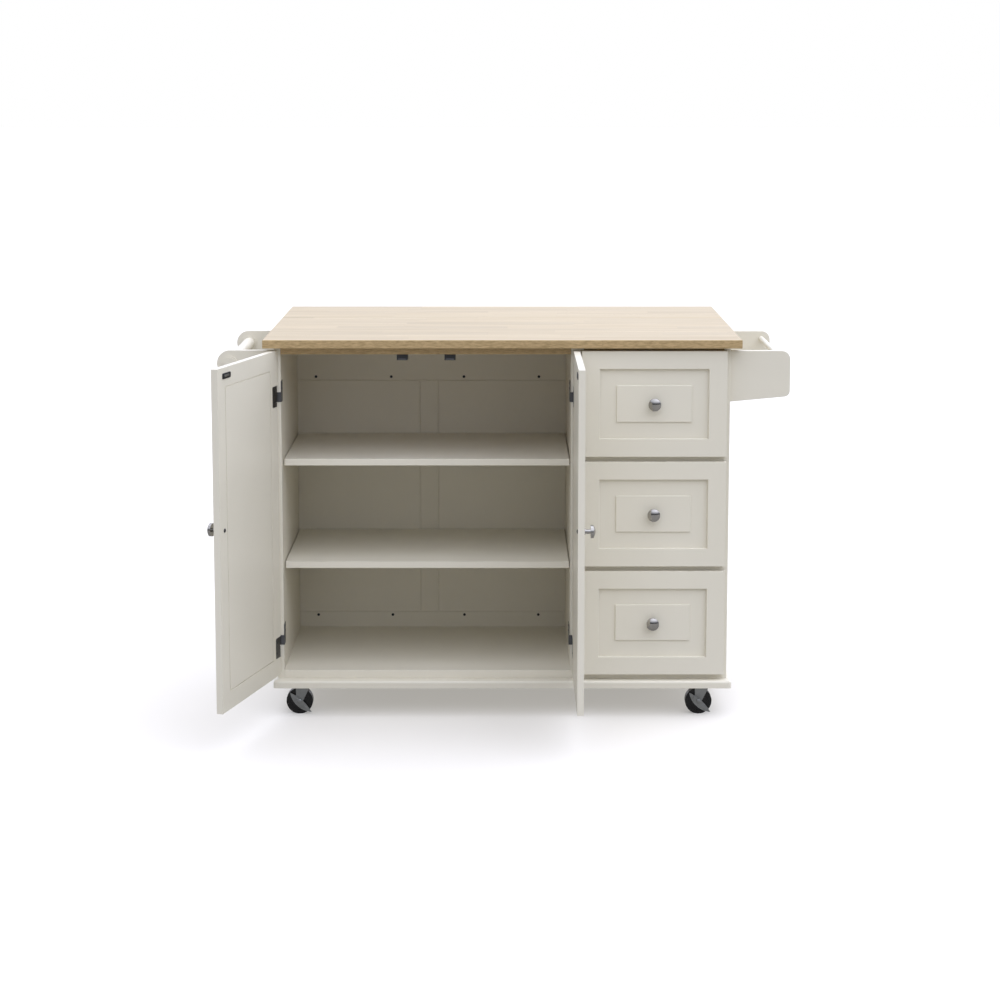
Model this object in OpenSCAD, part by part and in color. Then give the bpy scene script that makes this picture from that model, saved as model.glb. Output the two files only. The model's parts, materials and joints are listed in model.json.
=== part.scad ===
// Kitchen island cart: a wheeled cabinet with two doors, three drawers, a drop leaf and two end racks.
// Front faces -Y, +Z is up, and the floor is at z = 0. Inside the modules, x = 0 is the middle of the
// worktop and y = 0 is the front edge of the cabinet boards; cart() then centres the whole object.

/* [Worktop] */
// Height of the worktop's upper face above the floor
cart_h = 914; // [880:1:950]
// Width of the worktop and of the drop leaf
top_w = 1130; // [1110:1:1150]
// Front-to-back size of the fixed worktop
top_depth = 500; // [480:1:520]
// Thickness of the worktop boards
top_t = 20; // [18:1:25]
// How far the worktop stands out in front of the cabinet boards
top_overhang = 27; // [24:1:35]
// Front-to-back size of the drop leaf
leaf_depth = 274; // [230:1:300]
// Gap between the worktop and the raised leaf
leaf_gap = 1; // [0.6:0.1:2]

/* [Cabinet] */
// Width over the two side panels
cab_w = 1080; // [1070:1:1090]
// Front-to-back size of the side panels
cab_depth = 443; // [430:1:460]
// Thickness of the painted boards
panel_t = 15; // [14:1:16]
// Clear width of the door compartment
door_bay_w = 688; // [680:1:694]
// Thickness of the grooved back board
back_t = 13; // [10:1:15]
// Thickness of the cabinet floor board
floor_t = 20; // [18:1:21]
// Height of the wooden rail under the worktop's front edge
top_rail_h = 17; // [14:1:20]

/* [Base] */
// Height of the underside of the base board, which is the casters' load height
base_z = 72; // [72:0.5:74]
// Thickness of the base board
base_t = 18; // [16:1:20]
// How far the base board stands out past the side panels
base_side = 10; // [6:1:14]
// How far the base board stands out in front of the cabinet boards
base_front = 26; // [20:1:26]
// Radius of the rounded upper edge of the base board
base_round = 6; // [3:1:8]

/* [Shelves] */
// Thickness of the shelves
shelf_t = 16; // [15:1:18]
// Height of the upper shelf's top face
shelf_upper_z = 620; // [560:1:680]
// Height of the lower shelf's top face
shelf_lower_z = 369; // [300:1:420]
// How far the shelves stand back from the cabinet front
shelf_setback = 36; // [30:1:60]

/* [Doors] */
// Width of one door
door_w = 356; // [354:1:357]
// Height of one door
door_h = 784; // [780:1:785]
// Height of the doors' lower edge
door_z = 103; // [102:1:104]
// Thickness of doors and drawer fronts
front_t = 15; // [15:0.5:16]
// Gap between the cabinet boards and the back of a door or drawer front
front_gap = 2; // [2:0.1:2.5]
// Angle by which the left door stands open
left_open = 106; // [80:1:108]
// Angle by which the right door stands open
right_open = 90; // [80:1:90]
// Width of the frame around a recessed door or drawer-front panel
stile = 43; // [36:1:50]
// Depth of the recessed panel
recess_d = 8; // [5:0.5:9]
// Height of the raised field over the recessed panel
field_rise = 3.5; // [2:0.5:5]

/* [Drawers] */
// Width of a drawer front
drawer_w = 344; // [342:1:345]
// Height of a drawer front
drawer_h = 253; // [250:1:254]
// Gap between one drawer front and the next
drawer_gap = 12; // [10:1:13]
// Depth of a drawer box
box_depth = 400; // [380:1:410]
// Height of a drawer box
box_h = 190; // [160:1:200]
// Width of a drawer box
box_w = 306; // [300:1:308]

/* [Racks] */
// Reach of the towel-bar brackets past the left side panel
towel_reach = 137; // [120:1:150]
// Radius of the round end of a towel-bar bracket
towel_r = 31; // [28:1:34]
// Radius of the towel bar
towel_bar_r = 14; // [10:1:16]
// Reach of the spice-rack ends past the right side panel
spice_reach = 143; // [120:1:150]
// Height of a spice-rack end at the cabinet
spice_h = 122; // [110:1:140]
// Radius of the spice-rack rod
spice_rod_r = 6.5; // [4:0.5:8]

/* [Casters] */
// Radius of the caster wheels
wheel_r = 32; // [30:0.5:32]
// Width of the caster wheels
wheel_w = 20; // [18:1:21]
// How far a wheel trails its swivel axis
trail = 8; // [6:1:20]
// Distance of a swivel axis from the base board's side edge
caster_inset_x = 68; // [60:1:80]
// Distance of a swivel axis from the base board's front or back edge
caster_inset_y = 44; // [42:1:60]

/* [Hidden] */
$fn = 64;

// Colours
PAINT = [0.86, 0.85, 0.81];
OAK = [0.83, 0.70, 0.55];
STEEL = [0.45, 0.45, 0.45];
NICKEL = [0.78, 0.77, 0.74];
BLACK = [0.06, 0.06, 0.06];

// Heights
under_top_z = cart_h - top_t;
base_top_z = base_z + base_t;
floor_z = base_top_z + floor_t;
rail_z = under_top_z - top_rail_h;
fronts_top_z = door_z + door_h;

// Places across the cart
cab_x = cab_w / 2;
inner_x = cab_x - panel_t;
divider_x = -inner_x + door_bay_w;
drawer_bay_x = divider_x + 2 * panel_t;
base_x = cab_x + base_side;
back_y = cab_depth - back_t;

// Door hinges: the pin stands just inside the door's edge and half way into its thickness
hinge_pin_x = cab_x - 1;
hinge_pin_y = -front_gap - 7;
hinge_z = [147, 754];
hinge_tab_lift = [26, 9];
hinge_leaf_h = 50;
hinge_leaf_w = 26;
hinge_leaf_t = 1;
hinge_barrel_r = 3;
hinge_pin_r = 1.25;
hinge_fit = 0.05;
hinge_tab_h = 24;
hinge_play = 0.3;
hinge_notch = 4.5;
hinge_corner_r = 4;
hinge_frame_t = 1.5;
hinge_frame_w = 30;

// The doors meet in the middle of the bay that they cover
door_pair_gap = 4;
door_mid_x = -cab_x + door_w + door_pair_gap / 2;
door_knob_z = 520;
knob_inset = 27;

// Shelf pins and their holes
shelf_pin_r = 2.5;
shelf_pin_y = [70, 380];
shelf_pin_z = [shelf_upper_z - shelf_t - shelf_pin_r, shelf_lower_z - shelf_t - shelf_pin_r];
spare_hole_z = [685, 552, 419, 286];

// Catches and their strike plates
catch_x = [door_mid_x - 55, door_mid_x + 58];
strike_inset = 53;

// Drawers
drawer_mid_x = (drawer_bay_x + inner_x) / 2 + 0.5;
drawer_fronts_z = [for (i = [0:2]) fronts_top_z - (i + 1) * drawer_h - i * drawer_gap];
box_lift = 16;
box_wall = 12;
box_floor_t = 6;
slide_h = 40;
slide_play = 1;

// Racks: two plates on each side of the cabinet
rack_y = [13, 423];
rack_t = 15;
rack_top_z = 884;
towel_x = -cab_x - towel_reach + towel_r;
towel_z = rack_top_z + 1 - towel_r;
spice_rod_x = cab_x + spice_reach - 22;
spice_rod_z = rack_top_z - 19;

// Drop leaf: hinge pins just under the boards, in the middle of the gap
leaf_y = top_depth - top_overhang + leaf_gap;
leaf_pin_y = leaf_y - leaf_gap / 2;
leaf_pin_z = under_top_z - 3.5;
leaf_hinge_x = [-400, 0, 400];
leaf_barrel_r = 3;
leaf_pin_r = 1.5;
leaf_hinge_w = 60;
leaf_wing_t = 1.5;
leaf_wing_d = 28;

// Folding struts, from a mount under the leaf to a channel on the cabinet's back
strut_x = 300;
strut_top = [leaf_pin_y + 150, leaf_pin_z - 12];
strut_foot = [cab_depth + 7, leaf_pin_z - 165];
strut_pin_r = 3;
strut_w = 10;
strut_h = 12;
strut_run = strut_top - strut_foot;
strut_len = norm(strut_run);
strut_angle = atan2(strut_run[1], strut_run[0]);
channel_z = [495, 732];

// Casters
caster_z = wheel_r;
axle_r = 3;
axle_fit = 0.05;
caster_front_y = -base_front + caster_inset_y;
caster_back_y = cab_depth - caster_inset_y;
caster_x = base_x - caster_inset_x;
caster_plate_t = 2;
caster_plate_w = 56;
fork_top_z = wheel_r * 2 + 3.2;
fork_t = 1.8;
fork_y = wheel_w / 2 + 1.2;
pedal_y = fork_y + fork_t + 0.4;
pedal_t = 1.8;
pedal_len = 70;
pedal_belly = 12;
pedal_back = 6;
pedal_angle = -43;

// The whole object is centred on the box around it, doors and leaf included
front_reach = -hinge_pin_y + door_w - (cab_x - hinge_pin_x);
back_reach = top_depth - top_overhang + leaf_gap + leaf_depth;
cart_dx = (towel_reach - spice_reach) / 2;
cart_dy = (front_reach - back_reach) / 2;

// ---------------------------------------------------------------- helpers

module cart() translate([cart_dx, cart_dy, 0]) children();

// A square-edged board between two corners
module board(x, y, z) translate([x[0], y[0], z[0]]) cube([x[1] - x[0], y[1] - y[0], z[1] - z[0]]);

// A cylinder along +Y from y0 to y1
module rod_y(r, x, z, y0, y1) translate([x, y1, z]) rotate([90, 0, 0]) cylinder(r = r, h = y1 - y0);

// A cylinder along +X, centred on x
module rod_x(r, x, y, z, len) translate([x - len / 2, y, z]) rotate([0, 90, 0]) cylinder(r = r, h = len);

// A board with a recessed panel and a raised field on its front, which faces -Y
module framed_front(w, h) {
    field_in = stile + 40;
    difference() {
        cube([w, front_t, h]);
        translate([stile, -1, stile]) cube([w - 2 * stile, recess_d + 1, h - 2 * stile]);
    }
    translate([field_in, recess_d - field_rise, field_in])
        cube([w - 2 * field_in, field_rise + 1, h - 2 * field_in]);
}

// A round knob along +Z: a foot, a narrow stem and a domed head
module knob() {
    head_r = 15;
    head_z = 14;
    head_t = 11;
    dome_r = 26;
    cylinder(r = 7.5, h = 2);
    cylinder(r = 5, h = head_z + 1);
    translate([0, 0, head_z]) intersection() {
        cylinder(r = head_r, h = head_t);
        translate([0, 0, head_t - dome_r]) sphere(r = dome_r);
    }
}

module knob_on_front(x, y, z) translate([x, y, z]) rotate([90, 0, 0]) knob();

// The right door is the mirror image of the left one
module on_right() translate([2 * door_mid_x, 0, 0]) mirror([1, 0, 0]) children();

module swung(x, angle) translate([x, hinge_pin_y, 0]) rotate([0, 0, angle])
    translate([-x, -hinge_pin_y, 0]) children();

// Closed door pieces stand at the left of the bay; these two put them at their open angles
module left_door() cart() swung(-hinge_pin_x, -left_open) children();
module right_door() cart() swung(2 * door_mid_x + hinge_pin_x, right_open) on_right() children();

// ---------------------------------------------------------------- fixed cabinet

module worktop() color(OAK) cart()
    board([-top_w / 2, top_w / 2], [-top_overhang, leaf_y - leaf_gap], [under_top_z, cart_h]);

module front_top_rail() {
    rail_d = 60;
    color(OAK) cart() {
        board([-inner_x, divider_x], [0, rail_d], [rail_z, under_top_z]);
        board([drawer_bay_x, inner_x], [0, rail_d], [rail_z, under_top_z]);
    }
}

// Blind holes for shelf pins, bored into a panel's face from x towards the side that way points to
module pin_holes(x, way) {
    hole_r = 2.55;
    hole_d = 8;
    for (z = concat(spare_hole_z, shelf_pin_z), y = shelf_pin_y)
        rod_x(hole_r, x + way * hole_d / 2, y, z, hole_d);
}

module side_panel_left() color(PAINT) cart() difference() {
    board([-cab_x, -inner_x], [0, cab_depth], [base_top_z, under_top_z]);
    pin_holes(-inner_x, -1);
}

module side_panel_right() color(PAINT) cart()
    board([inner_x, cab_x], [0, cab_depth], [base_top_z, under_top_z]);

module divider_left() color(PAINT) cart() difference() {
    board([divider_x, divider_x + panel_t], [0, back_y], [floor_z, under_top_z]);
    pin_holes(divider_x, 1);
}

module divider_right() color(PAINT) cart()
    board([divider_x + panel_t, drawer_bay_x], [0, back_y], [floor_z, under_top_z]);

module cabinet_floor() color(PAINT) cart()
    board([-inner_x, inner_x], [0, back_y], [base_top_z, floor_z]);

// Grooves mark out the rails and the middle stile of the back
module back_board() {
    groove_w = 2.5;
    groove_d = 2;
    groove_x = [-212, -165];
    groove_y = [back_y - 1, back_y + groove_d];
    groove_z = [149, 756];
    color(PAINT) cart() difference() {
        board([-inner_x, inner_x], [back_y, cab_depth], [base_top_z, under_top_z]);
        for (z = groove_z) board([-inner_x - 1, divider_x], groove_y, [z, z + groove_w]);
        for (x = groove_x) board([x, x + groove_w], groove_y, groove_z);
    }
}

// A full board with its upper front and side edges rounded
module base_board() {
    r = base_round;
    x = base_x;
    z = base_top_z;
    color(PAINT) cart() {
        board([-x + r, x - r], [-base_front + r, cab_depth], [base_z, z]);
        board([-x + r, x - r], [-base_front, -base_front + r], [base_z, z - r]);
        for (s = [-1, 1]) {
            board(s < 0 ? [-x, -x + r] : [x - r, x], [-base_front + r, cab_depth], [base_z, z - r]);
            rod_y(r, s * (x - r), z - r, -base_front + r, cab_depth);
            translate([s * (x - r), -base_front + r, base_z]) cylinder(r = r, h = base_t - r);
            translate([s * (x - r), -base_front + r, z - r]) sphere(r = r);
        }
        rod_x(r, 0, -base_front + r, z - r, 2 * (x - r));
    }
}

module drawer_rails() {
    rail_d = 40;
    color(PAINT) cart() for (i = [0, 1]) {
        mid_z = drawer_fronts_z[i] - drawer_gap / 2;
        board([drawer_bay_x, inner_x], [0, rail_d], [mid_z - panel_t / 2, mid_z + panel_t / 2]);
    }
}

module shelf(z) {
    side_play = 2.5;
    back_play = 1;
    x = [-inner_x + side_play, divider_x - side_play];
    color(PAINT) cart() board(x, [shelf_setback, back_y - back_play], [z - shelf_t, z]);
}

module shelf_upper() shelf(shelf_upper_z);
module shelf_lower() shelf(shelf_lower_z);

module shelf_pins() {
    pin_len = 16;
    color(STEEL) cart() for (x = [-inner_x, divider_x], y = shelf_pin_y, z = shelf_pin_z)
        rod_x(shelf_pin_r, x, y, z, pin_len - 1);
}

module back_screws() {
    head_r = 3.5;
    head_t = 1.5;
    color(BLACK) cart() for (x = [-477, -284, -98, 94], z = [142, 766])
        rod_y(head_r, x, z, back_y - head_t, back_y);
}

// Two magnetic catches hang under the front rail, behind the doors' free edges
module door_catches() {
    body_w = 26;
    body_h = 14;
    body_y = [0.8, 34];
    color(BLACK) cart() for (x = catch_x)
        board([x - body_w / 2, x + body_w / 2], body_y, [rail_z - body_h, rail_z]);
}

// The fixed half of a left-hand hinge: a plate inside the panel, a tab round its front edge and a barrel
module hinge_frame(i) {
    z = hinge_z[i];
    tab_z = [z + hinge_tab_lift[i], z + hinge_tab_lift[i] + hinge_tab_h];
    knuckle_z = [tab_z[0] + hinge_play, tab_z[1] - hinge_play];
    plate_x = -inner_x + hinge_frame_t;
    outer_x = -hinge_pin_x - hinge_barrel_r;
    web_t = 1.5;
    board([-inner_x, plate_x], [-hinge_leaf_t, hinge_frame_w], knuckle_z);
    board([-inner_x, plate_x], [1, hinge_frame_w], [tab_z[0], tab_z[0] + hinge_leaf_h]);
    board([outer_x, plate_x], [-hinge_leaf_t, 0], knuckle_z);
    difference() {
        union() {
            board([outer_x, outer_x + web_t], [hinge_pin_y, 0], knuckle_z);
            translate([-hinge_pin_x, hinge_pin_y, knuckle_z[0]])
                cylinder(r = hinge_barrel_r, h = knuckle_z[1] - knuckle_z[0]);
        }
        translate([-hinge_pin_x, hinge_pin_y, z]) cylinder(r = hinge_pin_r + hinge_fit, h = 2 * hinge_leaf_h);
    }
}

module door_hinge_frames() color(STEEL) cart() for (i = [0, 1]) {
    hinge_frame(i);
    on_right() hinge_frame(i);
}

// Drawer slides are screwed to the divider and to the right side panel
module drawer_slides() {
    slide_y = [5, box_depth];
    slide_z = box_lift + box_h / 2 - slide_h / 2;
    left = drawer_mid_x - box_w / 2 - slide_play;
    right = drawer_mid_x + box_w / 2 + slide_play;
    color(STEEL) cart() for (z0 = drawer_fronts_z) {
        board([drawer_bay_x, left], slide_y, [z0 + slide_z, z0 + slide_z + slide_h]);
        board([right, inner_x], slide_y, [z0 + slide_z, z0 + slide_z + slide_h]);
    }
}

// ---------------------------------------------------------------- racks

module towel_bracket(y) color(PAINT) cart() difference() {
    union() {
        board([towel_x, -cab_x], [y, y + rack_t], [towel_z - towel_r, towel_z + towel_r]);
        rod_y(towel_r, towel_x, towel_z, y, y + rack_t);
    }
    rod_y(towel_bar_r + 0.1, towel_x, towel_z, y - 1, y + rack_t + 1);
}

module towel_bracket_front() towel_bracket(rack_y[0]);
module towel_bracket_back() towel_bracket(rack_y[1]);

// A thick round bar through both brackets, with a collar on each side of each bracket
module towel_bar() {
    collar_r = towel_bar_r + 4;
    collar_t = 4;
    end_out = 6;
    color(PAINT) cart() {
        rod_y(towel_bar_r, towel_x, towel_z, rack_y[0] - end_out, rack_y[1] + rack_t + end_out);
        for (y = rack_y, face = [-collar_t, rack_t])
            rod_y(collar_r, towel_x, towel_z, y + face, y + face + collar_t);
    }
}

// The lower edge rises towards the outer end; the two outer corners are round
module spice_end(y) {
    top_r = 21;
    low_r = 14;
    low_rise = 12;
    reach = spice_reach;
    slope = low_rise / (reach - low_r);
    low_z = low_rise - spice_h + low_r * sqrt(1 + slope * slope);
    color(PAINT) cart() translate([cab_x, y + rack_t, rack_top_z]) rotate([90, 0, 0])
        linear_extrude(height = rack_t) {
            polygon([
                [0, -spice_h], [reach - low_r + low_r * sin(atan(slope)), low_z - low_r * cos(atan(slope))],
                [reach - low_r, low_z], [reach, low_z], [reach, -top_r], [reach - top_r, -top_r],
                [reach - top_r, 0], [0, 0]
            ]);
            translate([reach - top_r, -top_r]) circle(r = top_r);
            translate([reach - low_r, low_z]) circle(r = low_r);
        }
}

module spice_end_front() spice_end(rack_y[0]);
module spice_end_back() spice_end(rack_y[1]);

module spice_shelf() {
    top_z = rack_top_z - 96;
    board_t = 10;
    end_in = 11;
    y = [rack_y[0] + rack_t, rack_y[1]];
    color(PAINT) cart() board([cab_x, cab_x + spice_reach - end_in], y, [top_z - board_t, top_z]);
}

module spice_rod() color(PAINT) cart()
    rod_y(spice_rod_r, spice_rod_x, spice_rod_z, rack_y[0] + rack_t, rack_y[1]);

// ---------------------------------------------------------------- doors, drawn closed at the left of the bay

// A hinge leaf's plate on the door's back, with its two free corners rounded
module leaf_plate(z, thick) {
    x = [-hinge_pin_x + hinge_notch, -hinge_pin_x + hinge_notch + hinge_leaf_w];
    y = [-front_gap - hinge_leaf_t, -front_gap - hinge_leaf_t + thick];
    r = hinge_corner_r;
    board([x[0], x[1] - r], y, [z, z + hinge_leaf_h]);
    board([x[0], x[1]], y, [z + r, z + hinge_leaf_h - r]);
    for (c = [z + r, z + hinge_leaf_h - r]) rod_y(r, x[1] - r, c, y[0], y[1]);
}

module door_panel_closed() {
    back = -front_gap;
    groove_w = 2.4;
    groove_d = 1.6;
    x0 = -cab_x;
    groove_x = [x0 + stile, x0 + door_w - stile];
    groove_z = [door_z + stile, door_z + door_h - stile];
    difference() {
        translate([x0, back - front_t, door_z]) framed_front(door_w, door_h);
        for (i = [0, 1]) {
            barrel_top = max(hinge_leaf_h, hinge_tab_lift[i] + hinge_tab_h);
            board([x0 - 1, -hinge_pin_x + hinge_notch], [hinge_pin_y - hinge_notch, back + 1],
                [hinge_z[i] - hinge_play, hinge_z[i] + barrel_top + hinge_play]);
            leaf_plate(hinge_z[i], 3);
        }
        for (x = [groove_x[0], groove_x[1] - groove_w])
            board([x, x + groove_w], [back - groove_d, back + 1], groove_z);
        for (z = [groove_z[0], groove_z[1] - groove_w])
            board(groove_x, [back - groove_d, back + 1], [z, z + groove_w]);
    }
}

// A plate with rounded corners on the door's back, level with the catch
module strike_closed() {
    half_w = 23;
    half_h = 6.5;
    corner_r = 4;
    y = [-front_gap, -front_gap + 1.6];
    mid_x = door_mid_x - strike_inset;
    mid_z = rail_z - 9;
    flat_x = [mid_x - half_w + corner_r, mid_x + half_w - corner_r];
    flat_z = [mid_z - half_h + corner_r, mid_z + half_h - corner_r];
    board(flat_x, y, [mid_z - half_h, mid_z + half_h]);
    board([mid_x - half_w, mid_x + half_w], y, flat_z);
    for (x = flat_x, z = flat_z) rod_y(corner_r, x, z, y[0], y[1]);
}

module door_knob_closed()
    knob_on_front(-cab_x + door_w - knob_inset, -front_gap - front_t, door_knob_z);

// The moving half of a hinge: a plate let into the door's back, bent round to the barrel ends, and the pin
module hinge_leaf(i) {
    z = hinge_z[i];
    tab_z = [z + hinge_tab_lift[i], z + hinge_tab_lift[i] + hinge_tab_h];
    back = -front_gap;
    inner = -hinge_pin_x + hinge_notch;
    bend_x = -hinge_pin_x + hinge_barrel_r;
    leaf_plate(z, hinge_leaf_t);
    for (s = [[z, tab_z[0]], [tab_z[1], z + hinge_leaf_h]]) if (s[1] > s[0]) {
        board([bend_x - hinge_leaf_t, inner], [back - hinge_leaf_t, back], s);
        board([bend_x - hinge_leaf_t, bend_x], [hinge_pin_y, back], s);
        translate([-hinge_pin_x, hinge_pin_y, s[0]]) cylinder(r = hinge_barrel_r, h = s[1] - s[0]);
    }
    translate([-hinge_pin_x, hinge_pin_y, z])
        cylinder(r = hinge_pin_r, h = max(hinge_leaf_h, hinge_tab_lift[i] + hinge_tab_h));
}

module hinge_leaves_closed() for (i = [0, 1]) hinge_leaf(i);

module door_left_panel() color(PAINT) left_door() door_panel_closed();
module door_left_strike() color(BLACK) left_door() strike_closed();
module door_left_knob() color(NICKEL) left_door() door_knob_closed();
module door_left_hinge_leaves() color(STEEL) left_door() hinge_leaves_closed();
module door_right_panel() color(PAINT) right_door() door_panel_closed();
module door_right_strike() color(BLACK) right_door() strike_closed();
module door_right_knob() color(NICKEL) right_door() door_knob_closed();
module door_right_hinge_leaves() color(STEEL) right_door() hinge_leaves_closed();

// ---------------------------------------------------------------- drawers, counted from the top

module drawer_front(i) color(PAINT) cart()
    translate([drawer_mid_x - drawer_w / 2, -front_gap - front_t, drawer_fronts_z[i]])
        framed_front(drawer_w, drawer_h);

module drawer_box(i) {
    z0 = drawer_fronts_z[i] + box_lift;
    color(OAK) cart() translate([drawer_mid_x - box_w / 2, -front_gap, z0]) difference() {
        cube([box_w, box_depth, box_h]);
        translate([box_wall, box_wall, box_floor_t])
            cube([box_w - 2 * box_wall, box_depth - 2 * box_wall, box_h]);
    }
}

module drawer_knob(i) {
    field_y = -front_gap - front_t + recess_d - field_rise;
    color(NICKEL) cart() knob_on_front(drawer_mid_x, field_y, drawer_fronts_z[i] + drawer_h / 2);
}

module drawer_top_front() drawer_front(0);
module drawer_top_box() drawer_box(0);
module drawer_top_knob() drawer_knob(0);
module drawer_middle_front() drawer_front(1);
module drawer_middle_box() drawer_box(1);
module drawer_middle_knob() drawer_knob(1);
module drawer_bottom_front() drawer_front(2);
module drawer_bottom_box() drawer_box(2);
module drawer_bottom_knob() drawer_knob(2);

// ---------------------------------------------------------------- drop leaf

module leaf_board() color(OAK) cart()
    board([-top_w / 2, top_w / 2], [leaf_y, leaf_y + leaf_depth], [under_top_z, cart_h]);

// The fixed wings and the middle knuckles
module leaf_hinge_frames() {
    knuckle_len = leaf_hinge_w / 3 - hinge_play;
    color(STEEL) cart() for (x = leaf_hinge_x) {
        board([x - leaf_hinge_w / 2, x + leaf_hinge_w / 2],
            [leaf_pin_y - leaf_wing_d, leaf_pin_y - leaf_barrel_r - hinge_play],
            [under_top_z - leaf_wing_t, under_top_z]);
        difference() {
            union() {
                rod_x(leaf_barrel_r, x, leaf_pin_y, leaf_pin_z, knuckle_len);
                board([x - knuckle_len / 2, x + knuckle_len / 2],
                    [leaf_pin_y - leaf_barrel_r - 1, leaf_pin_y - leaf_pin_r - 0.3],
                    [leaf_pin_z, under_top_z]);
            }
            rod_x(leaf_pin_r + hinge_fit, x, leaf_pin_y, leaf_pin_z, leaf_hinge_w);
        }
    }
}

// The moving wings, the outer knuckles and the pins
module leaf_hinge_leaves() {
    third = leaf_hinge_w / 3;
    color(STEEL) cart() for (x = leaf_hinge_x) {
        board([x - leaf_hinge_w / 2, x + leaf_hinge_w / 2],
            [leaf_pin_y + leaf_barrel_r + hinge_play, leaf_pin_y + leaf_wing_d],
            [under_top_z - leaf_wing_t, under_top_z]);
        for (s = [-1, 1]) {
            rod_x(leaf_barrel_r, x + s * third, leaf_pin_y, leaf_pin_z, third);
            board([x + s * third - third / 2, x + s * third + third / 2],
                [leaf_pin_y + 1, leaf_pin_y + leaf_barrel_r + 1], [leaf_pin_z, under_top_z]);
        }
        rod_x(leaf_pin_r, x, leaf_pin_y, leaf_pin_z, leaf_hinge_w);
    }
}

// Two ears, a foot plate and a pin under the leaf for each strut
module leaf_strut_mounts() {
    foot_d = 36;
    foot_side = 8;
    foot_t = 2;
    ear_t = 2;
    ear_gap = strut_w / 2 + 0.4;
    ear_r = 7;
    outer = ear_gap + ear_t;
    color(STEEL) cart() for (s = [-1, 1]) translate([s * strut_x, strut_top[0], 0]) {
        board([-outer - foot_side, outer + foot_side], [-foot_d / 2, foot_d / 2],
            [under_top_z - foot_t, under_top_z]);
        for (e = [-1, 1]) {
            board(e < 0 ? [-outer, -ear_gap] : [ear_gap, outer], [-ear_r, ear_r],
                [strut_top[1], under_top_z]);
            rod_x(ear_r, e * (ear_gap + ear_t / 2), 0, strut_top[1], ear_t);
        }
        rod_x(strut_pin_r, 0, 0, strut_top[1], 2 * outer + 2);
    }
}

// A strut is a flat bar with a bored round end at the leaf and a roller at the foot
module strut(s) {
    roller_r = 4;
    roller_w = 11;
    color(STEEL) cart() translate([s * strut_x, strut_foot[0], strut_foot[1]]) {
        difference() {
            union() {
                rotate([strut_angle, 0, 0])
                    translate([-strut_w / 2, 0, -strut_h / 2]) cube([strut_w, strut_len, strut_h]);
                rod_x(strut_h / 2, 0, strut_run[0], strut_run[1], strut_w);
            }
            rod_x(strut_pin_r + axle_fit, 0, strut_run[0], strut_run[1], 2 * strut_w);
        }
        rod_x(roller_r, 0, 0, 0, roller_w);
        rod_x(strut_h / 2, 0, 0, 0, strut_w);
    }
}

module strut_left() strut(-1);
module strut_right() strut(1);

// Upright channels on the back, open to the rear, which guide the feet of the struts
module leaf_support_channels() {
    inner = strut_w / 2 + 1;
    wall = 1.5;
    web_t = 0.4;
    depth = 14;
    color(STEEL) cart() for (s = [-1, 1]) translate([s * strut_x, cab_depth, 0]) {
        for (e = [-1, 1])
            board(e < 0 ? [-inner - wall, -inner] : [inner, inner + wall], [0, depth], channel_z);
        board([-inner - wall, inner + wall], [0, web_t], channel_z);
    }
}

// ---------------------------------------------------------------- casters

module caster_at(sx, back) cart()
    translate([sx * caster_x, back ? caster_back_y : caster_front_y, 0]) children();

module caster_plates() {
    race_r = 19;
    race_gap = 0.3;
    color(STEEL) for (sx = [-1, 1], back = [false, true]) caster_at(sx, back) {
        translate([-caster_plate_w / 2, -caster_plate_w / 2, base_z - caster_plate_t])
            cube([caster_plate_w, caster_plate_w, caster_plate_t]);
        translate([0, 0, fork_top_z + race_gap]) cylinder(r = race_r, h = base_z - fork_top_z - race_gap);
    }
}

// A crown over the wheel, two tapered cheeks and the axle
module caster_fork(sx, back) {
    crown_t = 2.2;
    cheek_top = 17;
    cheek_r = 8;
    color(STEEL) caster_at(sx, back) {
        board([-cheek_top, cheek_top], [-fork_y - fork_t, fork_y + fork_t],
            [fork_top_z - crown_t, fork_top_z]);
        for (s = [-1, 1]) translate([0, s > 0 ? fork_y + fork_t : -fork_y, 0]) rotate([90, 0, 0])
            linear_extrude(height = fork_t) {
                polygon([[-cheek_top, fork_top_z], [-trail - cheek_r, caster_z], [-trail + cheek_r, caster_z],
                    [cheek_top, fork_top_z]]);
                translate([-trail, caster_z]) circle(r = cheek_r);
            }
        axle_out = back ? fork_y + fork_t + 1 : pedal_y + pedal_t + 1;
        rod_y(axle_r, -trail, caster_z, -axle_out, fork_y + fork_t + 1);
    }
}

// A solid wheel with a shallow dish in each face
module caster_wheel(sx, back) {
    dish_r = wheel_r - 9;
    dish_d = 1.5;
    hub_r = 7;
    color(BLACK) caster_at(sx, back) difference() {
        rod_y(wheel_r, -trail, caster_z, -wheel_w / 2, wheel_w / 2);
        rod_y(axle_r + axle_fit, -trail, caster_z, -wheel_w, wheel_w);
        for (s = [-1, 1]) difference() {
            rod_y(dish_r, -trail, caster_z, s * (wheel_w / 2) - dish_d, s * (wheel_w / 2) + dish_d);
            rod_y(hub_r, -trail, caster_z, s * (wheel_w / 2) - 2 * dish_d, s * (wheel_w / 2) + 2 * dish_d);
        }
    }
}

// A disc through the lever's two tips, which bulges past the line between them by rise
module pedal_side(rise, way) {
    r = (pedal_len * pedal_len / 4 + rise * rise) / (2 * rise);
    translate([0, way * (r - rise)]) circle(r = r, $fn = 160);
}

// A leaf-shaped brake lever on the axle's outer end, pressed down, with the fuller side below
module caster_pedal(sx) {
    tip_shift = 4;
    color(STEEL) caster_at(sx, false) translate([-trail, -pedal_y, caster_z]) rotate([90, 0, 0])
        linear_extrude(height = pedal_t) rotate(pedal_angle) difference() {
            translate([tip_shift, 0]) intersection() {
                pedal_side(pedal_belly, 1);
                pedal_side(pedal_back, -1);
            }
            circle(r = axle_r + axle_fit);
        }
}

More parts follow.
